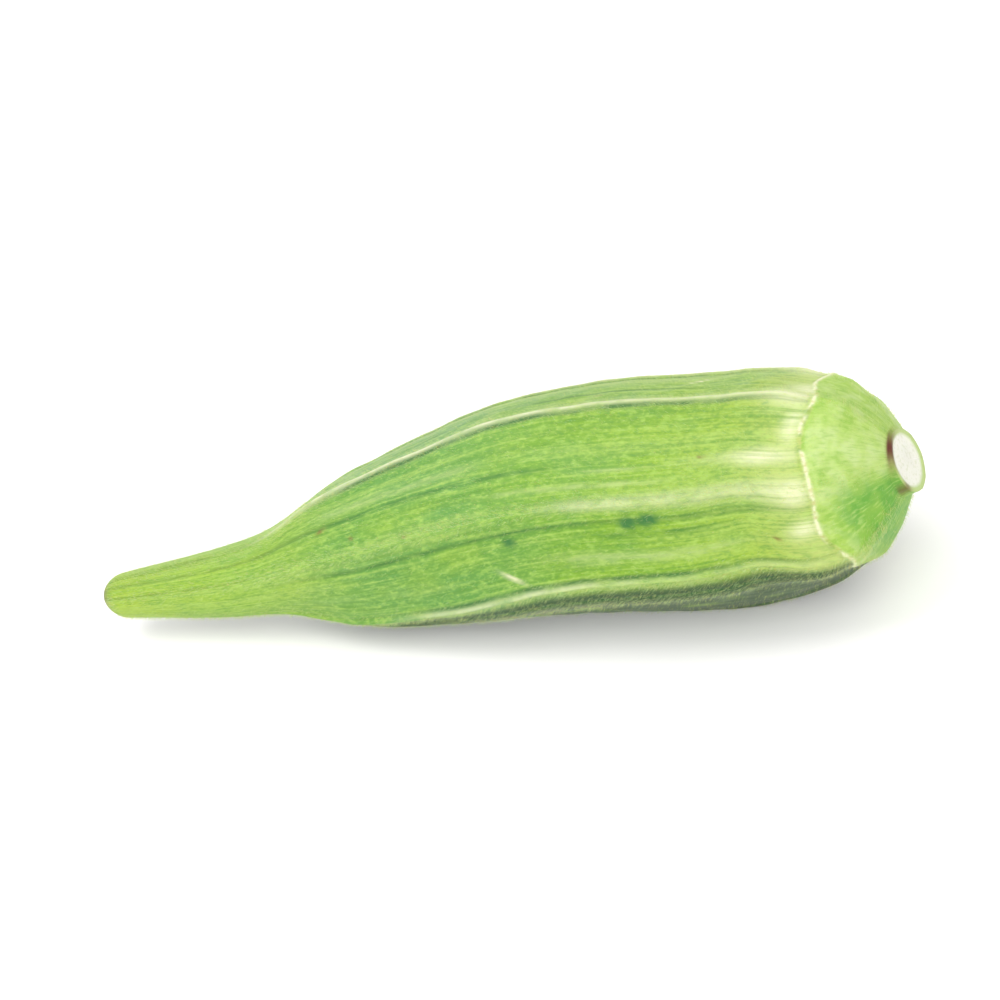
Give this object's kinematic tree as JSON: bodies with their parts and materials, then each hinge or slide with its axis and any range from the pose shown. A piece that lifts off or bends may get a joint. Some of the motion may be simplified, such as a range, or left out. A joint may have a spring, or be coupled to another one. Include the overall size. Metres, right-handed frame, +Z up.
{
  "type": "okra pod",
  "caption": "Fresh picked okra pod lying on its side: slender beak, ridged body, scar ring, domed cap and a slant-cut stem stub.",
  "frame": {"origin": "centre of the pod's footprint on the surface it lies on", "axes": "+X along the pod from the beak to the cut stem, +Z up, -Y the side that faces the picture's camera"},
  "size_m": [0.0822, 0.0228, 0.0225],
  "materials": {
    "pod_skin": "satin, softly hairy fresh green plant skin, paler on the ridges and the cap"
  },
  "bodies": {
    "root": {"okra_pod": "pod_skin"}
  },
  "joints": []
}
